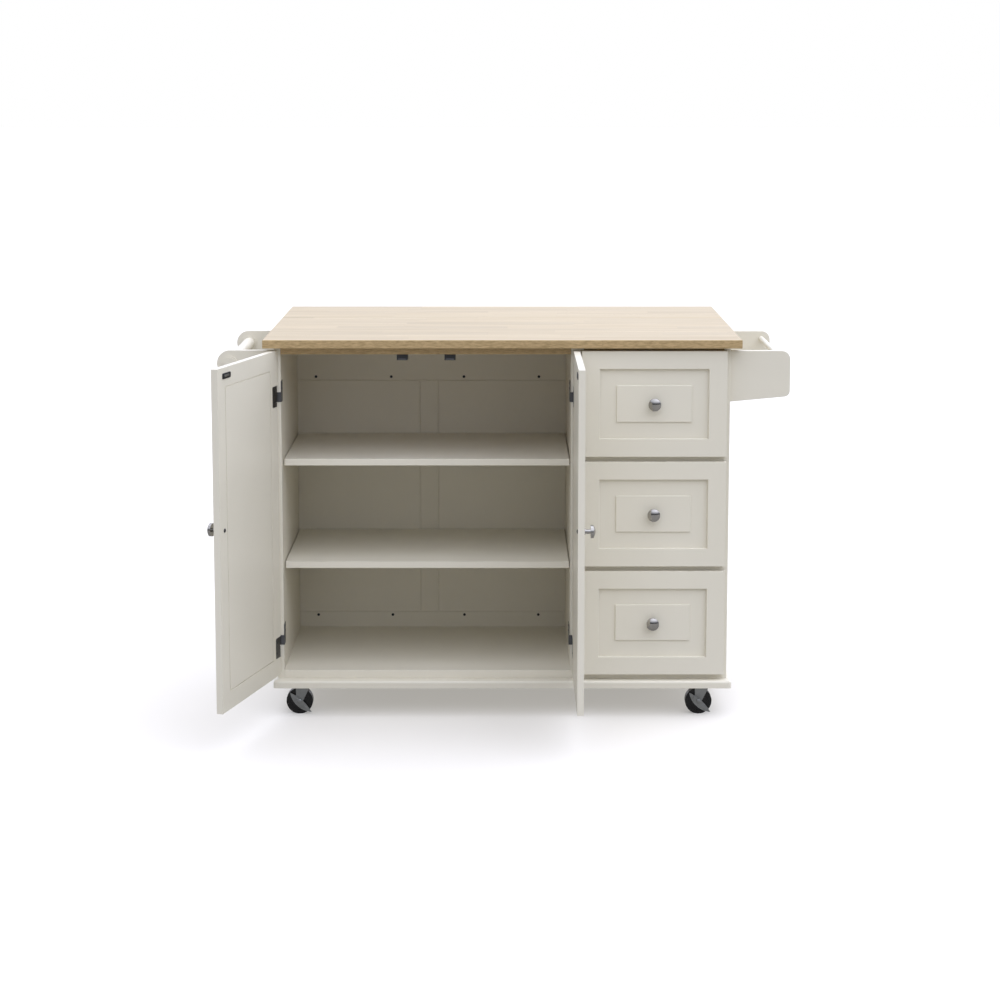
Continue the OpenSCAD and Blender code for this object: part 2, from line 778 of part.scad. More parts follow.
module caster_front_left_fork() caster_fork(-1, false);
module caster_front_left_wheel() caster_wheel(-1, false);
module caster_front_left_pedal() caster_pedal(-1);
module caster_front_right_fork() caster_fork(1, false);
module caster_front_right_wheel() caster_wheel(1, false);
module caster_front_right_pedal() caster_pedal(1);
module caster_back_left_fork() caster_fork(-1, true);
module caster_back_left_wheel() caster_wheel(-1, true);
module caster_back_right_fork() caster_fork(1, true);
module caster_back_right_wheel() caster_wheel(1, true);

// ---------------------------------------------------------------- drawing

worktop();
front_top_rail();
side_panel_left();
side_panel_right();
divider_left();
divider_right();
cabinet_floor();
back_board();
base_board();
drawer_rails();
shelf_upper();
shelf_lower();
shelf_pins();
back_screws();
door_catches();
door_hinge_frames();
drawer_slides();
towel_bracket_front();
towel_bracket_back();
towel_bar();
spice_end_front();
spice_end_back();
spice_shelf();
spice_rod();
leaf_hinge_frames();
leaf_support_channels();
caster_plates();
door_left_panel();
door_left_strike();
door_left_knob();
door_left_hinge_leaves();
door_right_panel();
door_right_strike();
door_right_knob();
door_right_hinge_leaves();
drawer_top_front();
drawer_top_box();
drawer_top_knob();
drawer_middle_front();
drawer_middle_box();
drawer_middle_knob();
drawer_bottom_front();
drawer_bottom_box();
drawer_bottom_knob();
leaf_board();
leaf_hinge_leaves();
leaf_strut_mounts();
strut_left();
strut_right();
caster_front_left_fork();
caster_front_left_wheel();
caster_front_left_pedal();
caster_front_right_fork();
caster_front_right_wheel();
caster_front_right_pedal();
caster_back_left_fork();
caster_back_left_wheel();
caster_back_right_fork();
caster_back_right_wheel();
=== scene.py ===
"""Looks of the kitchen island cart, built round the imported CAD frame."""

import json
import math

import bmesh
import bpy
from mathutils import Matrix, Vector

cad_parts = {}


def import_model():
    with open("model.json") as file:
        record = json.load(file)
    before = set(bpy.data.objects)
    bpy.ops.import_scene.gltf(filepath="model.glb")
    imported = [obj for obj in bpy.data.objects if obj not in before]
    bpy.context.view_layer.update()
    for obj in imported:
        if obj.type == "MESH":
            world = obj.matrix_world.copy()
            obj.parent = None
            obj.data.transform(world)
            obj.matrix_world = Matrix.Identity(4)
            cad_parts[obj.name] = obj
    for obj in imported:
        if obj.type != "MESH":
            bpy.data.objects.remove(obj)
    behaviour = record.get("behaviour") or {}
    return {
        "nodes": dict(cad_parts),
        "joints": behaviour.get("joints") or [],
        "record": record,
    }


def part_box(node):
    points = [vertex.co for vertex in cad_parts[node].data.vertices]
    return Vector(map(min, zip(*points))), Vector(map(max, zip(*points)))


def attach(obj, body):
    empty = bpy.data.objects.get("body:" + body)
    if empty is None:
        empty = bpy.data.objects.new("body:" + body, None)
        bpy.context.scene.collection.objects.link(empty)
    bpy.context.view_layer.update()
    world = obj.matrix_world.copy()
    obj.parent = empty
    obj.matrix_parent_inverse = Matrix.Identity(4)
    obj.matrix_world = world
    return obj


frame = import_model()
NODES = frame["nodes"]
JOINTS = {j["name"]: j for j in frame["joints"]}
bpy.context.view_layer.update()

MM = 0.001

# ---------------------------------------------------------------- node graphs

# the Mix node's sockets for colours
COLOUR_A = 6
COLOUR_B = 7
COLOUR_RESULT = 2

# how far a rounded normal agrees with the true one, on an edge and on a flat face
EDGE_COSINE = 0.88
FLAT_COSINE = 0.999


class Graph:
    """A node tree, with one short call for each kind of node used here."""

    def __init__(self, owner, end):
        owner.use_nodes = True
        self.owner = owner
        self.tree = owner.node_tree
        self.shader = self.tree.nodes[end]
        self.coords = self.add("ShaderNodeTexCoord").outputs
        self.place = self.coords["Object"]

    def add(self, kind, **settings):
        made = self.tree.nodes.new(kind)
        for key, value in settings.items():
            setattr(made, key, value)
        return made

    def put(self, made, socket, value):
        target = made.inputs[socket]
        if isinstance(value, bpy.types.NodeSocket):
            self.tree.links.new(value, target)
        else:
            target.default_value = value

    def surface(self, **sockets):
        for name, value in sockets.items():
            self.put(self.shader, name.replace("_", " ").title(), value)

    def camera_ray(self):
        return self.add("ShaderNodeLightPath").outputs["Is Camera Ray"]

    def math(self, operation, a, b=0.0, c=0.0):
        made = self.add("ShaderNodeMath", operation=operation)
        self.put(made, 0, a)
        self.put(made, 1, b)
        self.put(made, 2, c)
        return made.outputs[0]

    def split(self, vector):
        made = self.add("ShaderNodeSeparateXYZ")
        self.put(made, 0, vector)
        return made.outputs

    def join(self, x, y, z):
        made = self.add("ShaderNodeCombineXYZ")
        self.put(made, 0, x)
        self.put(made, 1, y)
        self.put(made, 2, z)
        return made.outputs[0]

    def noise(self, scale, detail=3.0, rough=0.5, where=None):
        made = self.add("ShaderNodeTexNoise")
        self.put(made, "Vector", where or self.place)
        self.put(made, "Scale", scale)
        self.put(made, "Detail", detail)
        self.put(made, "Roughness", rough)
        return made.outputs[0]

    def streaks(self, where, cells, detail, rough):
        """Noise with its own number of cells per metre along each axis."""
        stretched = self.add("ShaderNodeMapping")
        self.put(stretched, "Vector", where)
        self.put(stretched, "Scale", cells)
        return self.noise(1.0, detail, rough, stretched.outputs[0])

    def random(self, vector):
        made = self.add("ShaderNodeTexWhiteNoise", noise_dimensions="2D")
        self.put(made, "Vector", vector)
        return made.outputs["Value"]

    def remap(self, value, low, high, to_low=0.0, to_high=1.0):
        made = self.add("ShaderNodeMapRange", clamp=True)
        for socket, number in enumerate((value, low, high, to_low, to_high)):
            self.put(made, socket, number)
        return made.outputs[0]

    def ramp(self, value, *stops):
        made = self.add("ShaderNodeValToRGB")
        self.put(made, 0, value)
        for element, (position, colour) in zip(made.color_ramp.elements, stops):
            element.position = position
            element.color = (*colour, 1)
        return made.outputs[0]

    def mix(self, share, a, b, kind="MIX"):
        made = self.add("ShaderNodeMix", data_type="RGBA", blend_type=kind)
        self.put(made, 0, share)
        self.put(made, COLOUR_A, a)
        self.put(made, COLOUR_B, b)
        return made.outputs[COLOUR_RESULT]

    def edges(self, radius):
        """1 on edges sharper than radius, 0 on flat faces."""
        soft = self.add("ShaderNodeBevel", samples=4)
        self.put(soft, "Radius", radius)
        dot = self.add("ShaderNodeVectorMath", operation="DOT_PRODUCT")
        self.put(dot, 0, soft.outputs[0])
        self.put(dot, 1, self.add("ShaderNodeNewGeometry").outputs["Normal"])
        return self.remap(dot.outputs["Value"], EDGE_COSINE, FLAT_COSINE, 1.0, 0.0)

    def bump(self, height, strength, distance, under=None):
        made = self.add("ShaderNodeBump")
        self.put(made, "Height", height)
        self.put(made, "Strength", strength)
        self.put(made, "Distance", distance)
        if under:
            self.put(made, "Normal", under)
        return made.outputs[0]


def material(name):
    return Graph(bpy.data.materials.new(name), "Principled BSDF")


def tinted(colour, tint):
    """A colour multiplied by a tint, as a socket wants it."""
    return (*(part * share for part, share in zip(colour, tint)), 1)


# ---------------------------------------------------------------- materials

PAINT_SHADED = (0.716, 0.673, 0.556)
PAINT_FRESH = (0.751, 0.708, 0.591)
PAINT_WORN = (0.52, 0.47, 0.38, 1)
EDGE_WEAR = 0.35

# cells per metre of the wood's figure, with the grain along X
BANDS = (1.6, 42, 42)
FIBRES = (9, 520, 520)
PORES = (34, 900, 900)
FLECKS = (60, 420, 420)

# what the wood's dark tone is multiplied by
PORE_TINT = (0.55, 0.5, 0.42)
GLUE_TINT = (0.6, 0.55, 0.45)
RUBBED_TINT = (0.8, 0.75, 0.65)

FLECK_DARK = (0.30, 0.205, 0.088)
FLECK_LIGHT = (0.54, 0.380, 0.198)
GLUE_LINE = 0.0006
ROW_SEED = 3.7
# the most that a row is slipped along, in blocks, and that a block's figure is moved, in metres
ROW_SLIP = 5.0
BLOCK_DRIFT = 9.0

RUBBER_BLACK = (0.0035, 0.0035, 0.0037, 1)
RUBBER_DUST = (0.016, 0.015, 0.014, 1)
PLASTIC_DARK = (0.007, 0.007, 0.0075)
PLASTIC_LIGHT = (0.014, 0.014, 0.0145)

FLOOR_DARK = (0.615, 0.587, 0.540)
FLOOR_LIGHT = (0.625, 0.597, 0.550)
FLOOR_BOUNCE = (0.23, 0.22, 0.20, 1)
FLOOR_GLOW = 0.25


def white_paint():
    """Sprayed satin paint: faint orange peel, and a slightly rubbed tone along the edges."""
    g = material("white_paint")
    tone = g.ramp(g.noise(2.2, 4.0), (0.32, PAINT_SHADED), (0.68, PAINT_FRESH))
    patch = g.remap(g.noise(55, 3.0), 0.45, 0.7)
    worn = g.math("MULTIPLY", g.edges(0.0016), patch)
    faded = g.math("MULTIPLY", worn, EDGE_WEAR)
    peel = g.bump(g.noise(520, 2.0), strength=0.05, distance=0.0004)
    brush = g.bump(g.noise(28, 3.0), strength=0.04, distance=0.001, under=peel)
    g.surface(
        base_color=g.mix(faded, tone, PAINT_WORN),
        roughness=g.remap(g.noise(9, 4.0), 0.3, 0.7, 0.34, 0.44),
        normal=brush,
    )
    return g.owner


def seam(g, steps, pitch):
    """1 in the thin line between one block and the next, 0 elsewhere."""
    away = g.math("ABSOLUTE", g.math("SUBTRACT", g.math("FRACT", steps), 0.5))
    return g.remap(away, 0.5 - GLUE_LINE / pitch, 0.5)


def blocks(g, stave, length):
    """Blocks glued edge to edge: a random number for each, its own place in the figure, and the seams."""
    x, y, z = g.split(g.place)
    rows = g.math("DIVIDE", g.math("ADD", y, z), stave)
    row = g.math("FLOOR", rows)
    slip = g.math("MULTIPLY", g.random(g.join(row, ROW_SEED, 0.0)), ROW_SLIP)
    along = g.math("ADD", g.math("DIVIDE", x, length), slip)
    block = g.random(g.join(row, g.math("FLOOR", along), 0.0))
    drift = g.math("MULTIPLY", block, BLOCK_DRIFT)
    spot = g.join(g.math("ADD", x, drift), g.math("ADD", y, drift), z)
    return block, spot, g.math("MAXIMUM", seam(g, rows, stave), seam(g, along, length))


def flecked(g, spot, colour, share):
    """Light and dark flecks on the upright faces only, mixed over a colour by share."""
    level = g.math("ABSOLUTE", g.split(g.coords["Normal"])[2])
    upright = g.remap(level, 0.2, 0.6, 1.0, 0.0)
    flecks = g.ramp(g.streaks(spot, FLECKS, 4.0, 0.7), (0.38, FLECK_DARK), (0.60, FLECK_LIGHT))
    return g.mix(g.math("MULTIPLY", upright, share), colour, flecks)


def wood(name, light, dark, stave, length, glue, mottle=0.0):
    """Oiled wood in glued blocks, each with its tone: growth bands, fibres, pores and rubbed edges."""
    g = material(name)
    block, spot, seams = blocks(g, stave, length)
    bands = g.streaks(spot, BANDS, 4.0, 0.6)
    fibres = g.streaks(spot, FIBRES, 3.0, 0.65)
    mixed = g.math("MULTIPLY_ADD", fibres, 0.45, g.math("MULTIPLY", bands, 0.55))
    tone = g.ramp(mixed, (0.36, dark), (0.62, light))
    shade = g.remap(block, 0.0, 1.0, 0.90, 1.05)
    toned = g.mix(1.0, tone, g.join(shade, shade, shade), "MULTIPLY")
    holes = g.remap(g.streaks(spot, PORES, 2.0, 0.5), 0.62, 0.74, 0.0, 0.30)
    holed = g.mix(holes, toned, tinted(dark, PORE_TINT))
    lines = g.math("MULTIPLY", seams, glue)
    lined = g.mix(lines, holed, tinted(dark, GLUE_TINT))
    rubbed = g.math("MULTIPLY", g.edges(0.002), 0.25)
    colour = g.mix(rubbed, lined, tinted(dark, RUBBED_TINT))
    if mottle:
        colour = flecked(g, spot, colour, mottle)
    grain = g.bump(fibres, strength=0.10, distance=0.0006)
    sunk = g.math("SUBTRACT", 1.0, g.math("MAXIMUM", lines, holes))
    g.surface(
        base_color=colour,
        roughness=g.remap(mixed, 0.3, 0.7, 0.36, 0.26),
        normal=g.bump(sunk, strength=0.25, distance=0.0003, under=grain),
        coat_weight=0.12,
        coat_roughness=0.18,
    )
    g.put(g.shader, "Specular IOR Level", 0.22)
    return g.owner


def metal(name, colour, dull, rough, scratch, grain=(300, 300, 300), metallic=1.0):
    """Plated or painted steel: clouded tone, fine scratches, and bright edges."""
    g = material(name)
    tone = g.ramp(g.noise(30, 4.0), (0.3, dull), (0.7, colour))
    lines = g.streaks(g.place, grain, 3.0, 0.6)
    worn = g.math("MULTIPLY", g.edges(0.0007), g.remap(g.noise(160, 2.0), 0.4, 0.6))
    bright = tuple(min(1.0, part * 1.6 + 0.05) for part in colour)
    g.surface(
        base_color=g.mix(g.math("MULTIPLY", worn, EDGE_WEAR), tone, (*bright, 1)),
        metallic=metallic,
        roughness=g.remap(lines, 0.3, 0.7, rough - 0.06, rough + 0.08),
        normal=g.bump(lines, strength=scratch, distance=0.0002),
    )
    return g.owner


def black_plastic():
    """Moulded plastic with a fine matt texture."""
    g = material("black_plastic")
    g.surface(
        base_color=g.ramp(g.noise(60, 3.0), (0.3, PLASTIC_DARK), (0.7, PLASTIC_LIGHT)),
        roughness=g.remap(g.noise(200, 2.0), 0.3, 0.7, 0.42, 0.56),
        normal=g.bump(g.noise(1600, 2.0), strength=0.25, distance=0.0002),
    )
    return g.owner


def wheel_rubber():
    """Hard black rubber with a little dust worn into the tread."""
    g = material("wheel_rubber")
    dust = g.remap(g.noise(85, 5.0, 0.65), 0.56, 0.76, 0.0, 0.4)
    g.surface(
        base_color=g.mix(dust, RUBBER_BLACK, RUBBER_DUST),
        roughness=g.remap(g.noise(120, 3.0), 0.3, 0.7, 0.22, 0.34),
        normal=g.bump(g.noise(900, 2.0), strength=0.12, distance=0.0001),
    )
    g.put(g.shader, "Specular IOR Level", 0.35)
    return g.owner


def floor_finish():
    """Plain pale studio floor that keeps its shadows light and throws little light back on the cart."""
    g = material("studio_floor")
    tone = g.ramp(g.noise(0.6, 2.0), (0.3, FLOOR_DARK), (0.7, FLOOR_LIGHT))
    g.surface(
        base_color=g.mix(g.camera_ray(), FLOOR_BOUNCE, tone),
        roughness=0.9,
        emission_color=(1, 1, 1, 1),
        emission_strength=FLOOR_GLOW,
    )
    g.put(g.shader, "Specular IOR Level", 0.1)
    return g.owner


FINISHES = {
    "white_paint": white_paint(),
    "worktop_wood": wood(
        "worktop_wood",
        light=(0.496, 0.378, 0.196),
        dark=(0.400, 0.296, 0.142),
        stave=0.045,
        length=0.42,
        glue=0.35,
        mottle=0.75,
    ),
    "drawer_wood": wood(
        "drawer_wood",
        light=(0.66, 0.53, 0.37),
        dark=(0.53, 0.40, 0.26),
        stave=0.9,
        length=3.0,
        glue=0.0,
    ),
    "knob_nickel": metal(
        "knob_nickel",
        colour=(0.37, 0.355, 0.33),
        dull=(0.29, 0.28, 0.262),
        rough=0.12,
        scratch=0.03,
        grain=(500, 60, 500),
    ),
    "hinge_steel": metal(
        "hinge_steel",
        colour=(0.145, 0.148, 0.155),
        dull=(0.10, 0.102, 0.107),
        rough=0.34,
        scratch=0.06,
        grain=(80, 80, 900),
    ),
    "zinc_steel": metal(
        "zinc_steel",
        colour=(0.56, 0.57, 0.58),
        dull=(0.46, 0.47, 0.49),
        rough=0.36,
        scratch=0.06,
        grain=(80, 80, 700),
    ),
    "caster_steel": metal(
        "caster_steel",
        colour=(0.30, 0.305, 0.30),
        dull=(0.225, 0.23, 0.225),
        rough=0.42,
        scratch=0.05,
    ),
    "black_steel": metal(
        "black_steel",
        colour=(0.035, 0.035, 0.036),
        dull=(0.022, 0.022, 0.023),
        rough=0.40,
        scratch=0.05,
        metallic=0.4,
    ),
    "black_plastic": black_plastic(),
    "wheel_rubber": wheel_rubber(),
}

# ---------------------------------------------------------------- CAD nodes: finish and softened edges

WELD_WITHIN = 0.02
FLAT_WITHIN = math.radians(0.5)
SHARP_OVER = math.radians(35)

# how much each board's edges are rounded, in millimetres
BOARD_EDGE = {
    "worktop": 1.6,
    "leaf_board": 1.6,
    "front_top_rail": 0.8,
    "side_panel_left": 1.0,
    "side_panel_right": 1.0,
    "divider_left": 0.8,
    "divider_right": 0.8,
    "cabinet_floor": 0.8,
    "back_board": 0.5,
    "drawer_rails": 0.8,
    "shelf_upper": 1.0,
    "shelf_lower": 1.0,
    "door_left_panel": 0.7,
    "door_right_panel": 0.7,
    "drawer_top_front": 0.9,
    "drawer_middle_front": 0.9,
    "drawer_bottom_front": 0.9,
    "drawer_top_box": 0.8,
    "drawer_middle_box": 0.8,
    "drawer_bottom_box": 0.8,
    "towel_bracket_front": 1.0,
    "towel_bracket_back": 1.0,
    "spice_end_front": 1.0,
    "spice_end_back": 1.0,
    "spice_shelf": 1.0,
    "door_catches": 0.6,
    "door_left_strike": 0.3,
    "door_right_strike": 0.3,
    "drawer_slides": 0.5,
    "strut_left": 0.5,
    "strut_right": 0.5,
}


def soften(piece, width):
    """Rounds a board's hard edges by width, in millimetres."""
    weld = piece.modifiers.new("weld", "WELD")
    weld.merge_threshold = WELD_WITHIN * MM
    plane = piece.modifiers.new("plane", "DECIMATE")
    plane.decimate_type = "DISSOLVE"
    plane.angle_limit = FLAT_WITHIN
    bevel = piece.modifiers.new("bevel", "BEVEL")
    bevel.width = width * MM
    bevel.segments = 3
    bevel.limit_method = "ANGLE"
    bevel.angle_limit = SHARP_OVER
    bevel.harden_normals = True
    bevel.use_clamp_overlap = True


def dress_cad_nodes():
    slots = {s["node"]: s["material_slot"] for s in frame["record"]["subparts"]}
    for name, piece in NODES.items():
        for slot in piece.material_slots:
            slot.material = FINISHES[slots[name]]
        if name in BOARD_EDGE:
            soften(piece, BOARD_EDGE[name])


dress_cad_nodes()

# ---------------------------------------------------------------- small fittings

CREASE_OVER = math.radians(40)

# screw heads and caps: (radius, height) in millimetres
SCREW = ((3.1, -0.4), (3.1, 0.35), (2.5, 0.75), (1.15, 0.8), (1.0, 0.25))
PAN_HEAD = ((4.6, -0.4), (4.6, 0.9), (3.9, 1.7), (1.7, 2.1), (1.5, 1.2))
PLATE_SCREW = ((3.4, -0.4), (3.4, 0.8), (2.6, 1.4), (1.3, 1.5), (1.2, 0.7))
AXLE_CAP = ((5.6, 0.0), (5.8, 0.4), (5.8, 1.1), (5.0, 1.8), (3.2, 2.2), (0.6, 2.3))

RIGHT = (1, 0, 0)
LEFT = (-1, 0, 0)
BACK = (0, 1, 0)
FRONT = (0, -1, 0)
DOWN = (0, 0, -1)

# the cabinet's middle at its boards' front, on the floor, in metres
LEFT_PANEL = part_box("side_panel_left")
RIGHT_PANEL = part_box("side_panel_right")
MIDDLE = Vector(((LEFT_PANEL[0].x + RIGHT_PANEL[1].x) / 2, LEFT_PANEL[0].y, 0))

# the angles by which the doors stand open in the frame
LEFT_OPEN = math.radians(106)
RIGHT_OPEN = math.radians(90)

# from here on the numbers are millimetres, and X, Y and Z are those that cart() takes
HINGE_HEIGHT = 50

# on the left door, drawn closed
DOOR_BACK = -2
DOOR_SCREW_X = -521
DOOR_SCREW_UP = (12, 38)
KNOB_X = -211
KNOB_Z = 520
STRIKE_LOW = (-248, -0.8, 865.5)
STRIKE_HIGH = (-222, 0, 870.5)

# the faces of the fixed hinge plates on the side panel and on the divider
PLATE_FACE_LEFT = -523.5
PLATE_FACE_RIGHT = 159.5
FRAME_SCREW_Y = 20
FRAME_SCREW_UP = (31, 43)

# the tongue's corners, from a catch's lowest corner
CATCH_WIDTH = 26
TONGUE_LOW = Vector((3, -0.5, 0.8))
TONGUE_HIGH = Vector((23, 4, 4.2))

RUNNER_THICK = 0.6
RUNNER_HALF_HEIGHT = 14
# how far the runners stay from the front and the back of a drawer box
RUNNER_FRONT = 12
RUNNER_BACK = 4

DROP_HINGE_X = (-400, 0, 400)
DROP_SCREW_SPREAD = (-20, 20)
DROP_SCREW_OFF_PIN = 16
DROP_PLATE_THICK = 1.5

CORNERS = ("front_left", "front_right", "back_left", "back_right")
BRAKED = CORNERS[:2]
CASTER_SCREW_OFF = (-22, 22)
CASTER_PLATE_THICK = 2
CAP_SUNK = 0.8

# the brake lever: its middle, and its ribs' places along it, are measured from the axle
PEDAL_TILT = math.radians(-43)
PEDAL_MIDDLE = 4
PEDAL_HALF = 35
RIB_PLACES = (-18, -14, -10, 12, 16, 20, 24)
# the longest rib, and how much of it lies on the lower side of the lever's middle line
RIB_LENGTH = 14
RIB_BELOW = 10
RIB_RADIUS = 0.7
RIB_TIP_RADIUS = 0.3
RIB_TAPER = 0.5


def cart(x, y, z):
    """The point that many millimetres right of the cabinet's middle, behind its boards' front, and up."""
    return MIDDLE + Vector((x, y, z)) * MM


class Shape:
    """A mesh put together from turned and rounded square forms, all in metres in the frame."""

    def __init__(self):
        self.mesh = bmesh.new()

    def ring(self, put, radius, height, sides):
        made = []
        for step in range(sides):
            angle = 2 * math.pi * step / sides
            spot = Vector((radius * math.cos(angle), radius * math.sin(angle), height)) * MM
            made.append(self.mesh.verts.new(put @ spot))
        return made

    def turned(self, profile, place, towards, sides=20):
        """Turns (radius, height) points, in millimetres, about the line from place towards a direction."""
        turn = Vector(towards).to_track_quat("Z", "Y").to_matrix().to_4x4()
        put = Matrix.Translation(place) @ turn
        rings = [self.ring(put, radius, height, sides) for radius, height in profile]
        for low, high in zip(rings, rings[1:]):
            for step in range(sides):
                after = (step + 1) % sides
                self.mesh.faces.new((low[step], low[after], high[after], high[step]))
        self.mesh.faces.new(rings[0][::-1])
        self.mesh.faces.new(rings[-1])

    def block(self, low, high, round_by):
        """A box between two corners, with its edges rounded by round_by millimetres."""
        made = bmesh.ops.create_cube(self.mesh, size=1)["verts"]
        for vert in made:
            vert.co = Vector(low[i] + (vert.co[i] + 0.5) * (high[i] - low[i]) for i in range(3))
        edges = list({edge for vert in made for edge in vert.link_edges})
        bmesh.ops.bevel(
            self.mesh, geom=edges, offset=round_by * MM, segments=2, affect="EDGES", profile=0.5
        )

    def hang(self, door):
        """Takes a shape drawn on the closed left door to that door's open place, or to the right door's."""
        pins = [Vector(JOINTS[name]["pos_m"]) for name in ("door_left_swing", "door_right_swing")]
        pin, angle = pins[0], -LEFT_OPEN
        if door == "door_right":
            middle = (pins[0].x + pins[1].x) / 2
            for vert in self.mesh.verts:
                vert.co.x = 2 * middle - vert.co.x
            pin, angle = pins[1], RIGHT_OPEN
        turn = Matrix.Rotation(angle, 3, "Z")
        bmesh.ops.rotate(self.mesh, verts=self.mesh.verts, cent=pin, matrix=turn)

    def piece(self, name, slot, body):
        bmesh.ops.recalc_face_normals(self.mesh, faces=self.mesh.faces)
        for face in self.mesh.faces:
            face.smooth = True
        for edge in self.mesh.edges:
            edge.smooth = edge.calc_face_angle(0) < CREASE_OVER
        data = bpy.data.meshes.new(name)
        self.mesh.to_mesh(data)
        self.mesh.free()
        data.materials.append(FINISHES[slot])
        made = bpy.data.objects.new(name, data)
        bpy.context.scene.collection.objects.link(made)
        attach(made, body)


def hinge_feet(node):
    """The heights of the lower ends of a node's two hinges, in millimetres."""
    low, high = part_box(node)
    return low.z / MM, high.z / MM - HINGE_HEIGHT


def door_hinge_screws(door):
    shape = Shape()
    for foot in hinge_feet("door_left_hinge_leaves"):
        for up in DOOR_SCREW_UP:
            shape.turned(SCREW, cart(DOOR_SCREW_X, DOOR_BACK, foot + up), BACK)
    shape.hang(door)
    shape.piece(door + "_hinge_screws", "hinge_steel", door)


def knob_screw(door):
    shape = Shape()
    shape.turned(PAN_HEAD, cart(KNOB_X, DOOR_BACK, KNOB_Z), BACK)
    shape.hang(door)
    shape.piece(door + "_knob_screw", "black_steel", door)


def strike_insert(door):
    shape = Shape()
    shape.block(cart(*STRIKE_LOW), cart(*STRIKE_HIGH), round_by=0.4)
    shape.hang(door)
    shape.piece(door + "_strike_insert", "caster_steel", door)


def frame_plate_screws():
    """The screws of the fixed hinge plates, on the inner faces of the side panel and of the divider."""
    shape = Shape()
    for foot in hinge_feet("door_hinge_frames"):
        for up in FRAME_SCREW_UP:
            shape.turned(SCREW, cart(PLATE_FACE_LEFT, FRAME_SCREW_Y, foot + up), RIGHT)
            shape.turned(SCREW, cart(PLATE_FACE_RIGHT, FRAME_SCREW_Y, foot + up), LEFT)
    shape.piece("hinge_frame_screws", "hinge_steel", "cabinet")


def catch_tongues():
    """The steel tongue at the lower front edge of each magnetic catch."""
    low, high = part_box("door_catches")
    shape = Shape()
    for left in (low.x, high.x - CATCH_WIDTH * MM):
        corner = Vector((left, low.y, low.z))
        shape.block(corner + TONGUE_LOW * MM, corner + TONGUE_HIGH * MM, round_by=0.4)
    shape.piece("catch_tongues", "hinge_steel", "cabinet")


def drawer_runners(name):
    """The thin inner members of the slides, on both sides of a drawer box."""
    low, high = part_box(name + "_box")
    middle = (low.z + high.z) / 2
    front = low.y + RUNNER_FRONT * MM
    back = high.y - RUNNER_BACK * MM
    bottom = middle - RUNNER_HALF_HEIGHT * MM
    top = middle + RUNNER_HALF_HEIGHT * MM
    shape = Shape()
    for left in (low.x - RUNNER_THICK * MM, high.x):
        right = left + RUNNER_THICK * MM
        shape.block((left, front, bottom), (right, back, top), round_by=0.15)
    shape.piece(name + "_runners", "zinc_steel", name)


def leaf_hinge_screws(name, body, way):
    """The screws of the drop leaf's hinges, under the worktop (way -1) or under the leaf (way 1)."""
    pin = Vector(JOINTS["drop_leaf_hinge"]["pos_m"])
    y = pin.y + way * DROP_SCREW_OFF_PIN * MM
    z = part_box("leaf_hinge_frames")[1].z - DROP_PLATE_THICK * MM
    shape = Shape()
    for middle in DROP_HINGE_X:
        for off in DROP_SCREW_SPREAD:
            shape.turned(SCREW, Vector((cart(middle + off, 0, 0).x, y, z)), DOWN)
    shape.piece(name, "hinge_steel", body)


def caster_screws():
    """Four screws through each caster's top plate."""
    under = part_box("base_board")[0].z - CASTER_PLATE_THICK * MM
    shape = Shape()
    for corner in CORNERS:
        axis = Vector(JOINTS["swivel_" + corner]["pos_m"])
        for x in CASTER_SCREW_OFF:
            for y in CASTER_SCREW_OFF:
                shape.turned(PLATE_SCREW, Vector((axis.x + x * MM, axis.y + y * MM, under)), DOWN)
    shape.piece("caster_plate_screws", "zinc_steel", "cabinet")


def axle_caps(corner):
    """A pressed cap over each end of a wheel's axle."""
    centre = Vector(JOINTS["wheel_" + corner + "_spin"]["pos_m"])
    low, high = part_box("caster_" + corner + "_fork")
    shape = Shape()
    shape.turned(AXLE_CAP, Vector((centre.x, low.y + CAP_SUNK * MM, centre.z)), FRONT)
    shape.turned(AXLE_CAP, Vector((centre.x, high.y - CAP_SUNK * MM, centre.z)), BACK)
    shape.piece("axle_caps_" + corner, "caster_steel", "fork_" + corner)


def pedal_ribs(corner):
    """Grip ribs across the brake lever, shorter towards its tips."""
    axle = Vector(JOINTS["pedal_" + corner + "_brake"]["pos_m"])
    along = Vector((math.cos(PEDAL_TILT), 0, math.sin(PEDAL_TILT)))
    across = Vector((-math.sin(PEDAL_TILT), 0, math.cos(PEDAL_TILT)))
    shape = Shape()
    for off in RIB_PLACES:
        share = 1 - ((off - PEDAL_MIDDLE) / PEDAL_HALF) ** 2
        length = RIB_LENGTH * share
        start = axle + (along * off - across * RIB_BELOW * share) * MM
        start.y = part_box("caster_" + corner + "_pedal")[0].y
        half = ((RIB_TIP_RADIUS, 0), (RIB_RADIUS, RIB_TAPER))
        mirrored = tuple((radius, length - height) for radius, height in reversed(half))
        shape.turned(half + mirrored, start, across, sides=8)
    shape.piece("pedal_ribs_" + corner, "caster_steel", "pedal_" + corner)


def fittings():
    for door in ("door_left", "door_right"):
        door_hinge_screws(door)
        knob_screw(door)
        strike_insert(door)
    frame_plate_screws()
    catch_tongues()
    for name in ("drawer_top", "drawer_middle", "drawer_bottom"):
        drawer_runners(name)
    leaf_hinge_screws("worktop_hinge_screws", "cabinet", -1)
    leaf_hinge_screws("leaf_hinge_screws", "drop_leaf", 1)
    caster_screws()
    for corner in CORNERS:
        axle_caps(corner)
    for corner in BRAKED:
        pedal_ribs(corner)


fittings()

# ---------------------------------------------------------------- studio

LIGHT = (0.95, 0.99, 1.14)
WHITE = (1, 1, 1, 1)
FLOOR_SIZE = 120

SUN_STRENGTH = 0.86
SUN_WIDTH = math.radians(70)
SUN_TOWARDS = (-0.10, -0.30, -1.0)

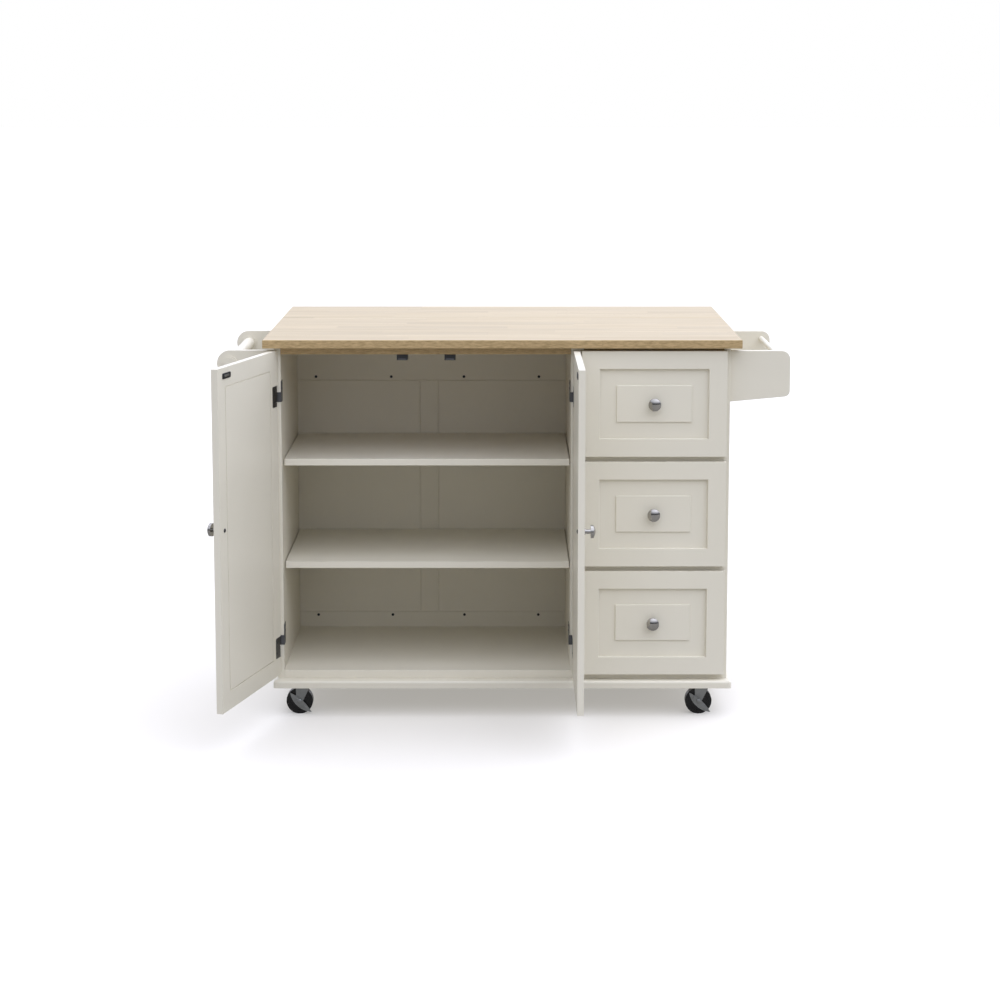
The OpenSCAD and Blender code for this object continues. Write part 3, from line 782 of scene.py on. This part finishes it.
# the room's brightness: low and high in front of the cart, and behind it
ROOM_FRONT = (0.08, 2.0)
ROOM_BACK = 1.15
# what it is multiplied by on the left and on the right
ROOM_SIDES = (0.60, 1.40)
# the room's brightness as the camera sees it
ROOM_SEEN = 1.0

# the parts of a direction's Z, Y and X over which one brightness passes into the next
UP_CHANGE = (0.12, 0.62)
DEPTH_CHANGE = (-0.5, 0.5)
SIDE_CHANGE = (-0.9, 0.9)

CAMERA_PLACE = (-0.0086, -5.4201, 1.5307)
CAMERA_DOWN = math.radians(7.785)
CAMERA_LENS = 80.23
CAMERA_SENSOR = 36
CAMERA_SHIFT = -0.12


def floor():
    bpy.ops.mesh.primitive_plane_add(size=FLOOR_SIZE)
    made = bpy.context.object
    made.name = "studio_floor"
    made.data.materials.append(floor_finish())


def sun():
    data = bpy.data.lights.new("overhead", "SUN")
    data.energy = SUN_STRENGTH
    data.color = LIGHT
    data.angle = SUN_WIDTH
    made = bpy.data.objects.new("overhead", data)
    made.rotation_euler = Vector(SUN_TOWARDS).to_track_quat("-Z", "Y").to_euler()
    bpy.context.scene.collection.objects.link(made)


def world():
    """A bright backdrop behind the cart, and in front of it a room that is dim low down and bright above.

    The camera itself sees white all round.
    """
    g = Graph(bpy.data.worlds.new("studio_world"), "Background")
    x, y, z = g.split(g.coords["Generated"])
    front = g.remap(z, *UP_CHANGE, *ROOM_FRONT)
    depth = g.remap(y, *DEPTH_CHANGE, front, ROOM_BACK)
    side = g.remap(x, *SIDE_CHANGE, *ROOM_SIDES)
    room = g.math("MULTIPLY", depth, side)
    seen = g.camera_ray()
    g.surface(
        strength=g.remap(seen, 0.0, 1.0, room, ROOM_SEEN),
        color=g.mix(seen, (*LIGHT, 1), WHITE),
    )
    bpy.context.scene.world = g.owner


def camera():
    data = bpy.data.cameras.new("camera")
    data.lens = CAMERA_LENS
    data.sensor_width = CAMERA_SENSOR
    data.shift_y = CAMERA_SHIFT
    made = bpy.data.objects.new("camera", data)
    made.location = CAMERA_PLACE
    made.rotation_euler = (math.pi / 2 - CAMERA_DOWN, 0, 0)
    bpy.context.scene.collection.objects.link(made)
    bpy.context.scene.camera = made


floor()
world()
sun()
camera()
bpy.context.scene.view_settings.view_transform = "Standard"
